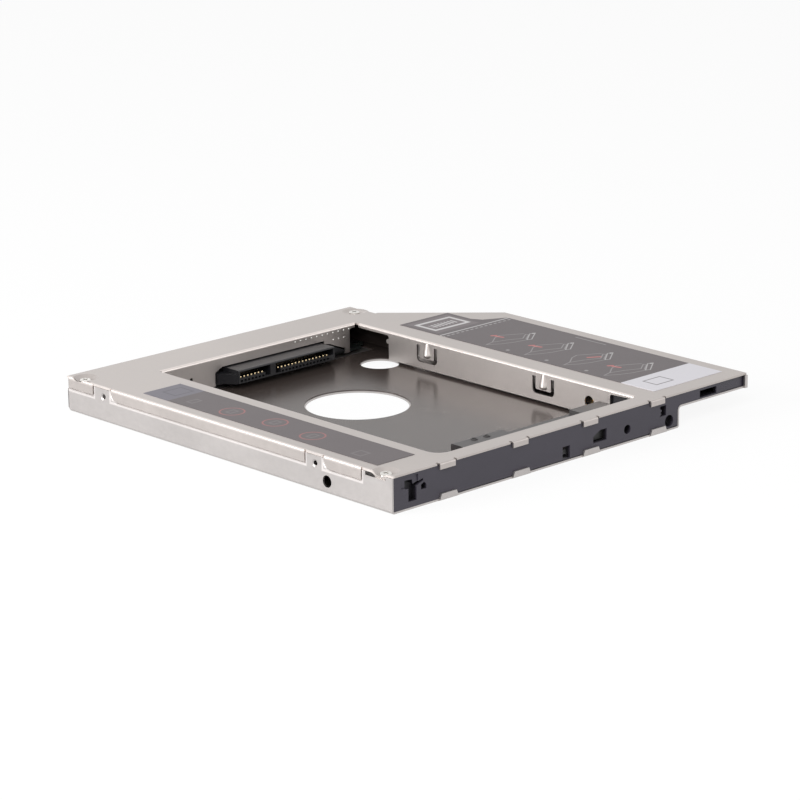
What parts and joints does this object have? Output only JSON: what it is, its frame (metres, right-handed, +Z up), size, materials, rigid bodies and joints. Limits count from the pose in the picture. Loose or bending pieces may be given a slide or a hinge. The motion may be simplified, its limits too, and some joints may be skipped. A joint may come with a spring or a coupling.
{
  "type": "laptop drive caddy",
  "caption": "Slim sheet-metal caddy that holds a 2.5 inch drive in a laptop's optical drive bay, with a stepped wing, a cut corner, a drive connector inside and a plug at the rear.",
  "frame": {"origin": "middle of the case's bottom", "axes": "+X along the case's front to its right, +Y to the rear where the host plug is, +Z up through the open bay"},
  "size_m": [0.128, 0.1262, 0.0096],
  "materials": {
    "tray_steel": "matt galvanised",
    "cover_steel": "matt galvanised",
    "film": "semi-gloss film",
    "frame_plastic": "fine moulded",
    "brass": "turned",
    "stop_plastic": "fine moulded",
    "connector_plastic": "moulded",
    "contact_gold": "gold plated",
    "board": "dark solder mask",
    "screw_steel": "nickel plated",
    "ceramic": "ceramic",
    "indicator_mask": "dark solder mask",
    "switch_body": "moulded",
    "sticker_dark": "printed film"
  },
  "bodies": {
    "root": {"bottom_tray": "tray_steel", "top_cover": "cover_steel", "floor_film": "film", "front_frame": "frame_plastic", "lock_insert": "brass", "drive_stop": "stop_plastic", "drive_connector": "connector_plastic", "signal_contacts": "contact_gold", "power_contacts": "contact_gold", "adapter_board": "board", "board_screws": "screw_steel", "board_capacitors": "ceramic", "host_plug": "connector_plastic", "host_contacts": "contact_gold", "cover_screws": "screw_steel", "indicator_board": "indicator_mask", "indicator_switch": "switch_body", "left_sticker": "sticker_dark", "right_sticker": "sticker_dark"}
  },
  "joints": []
}
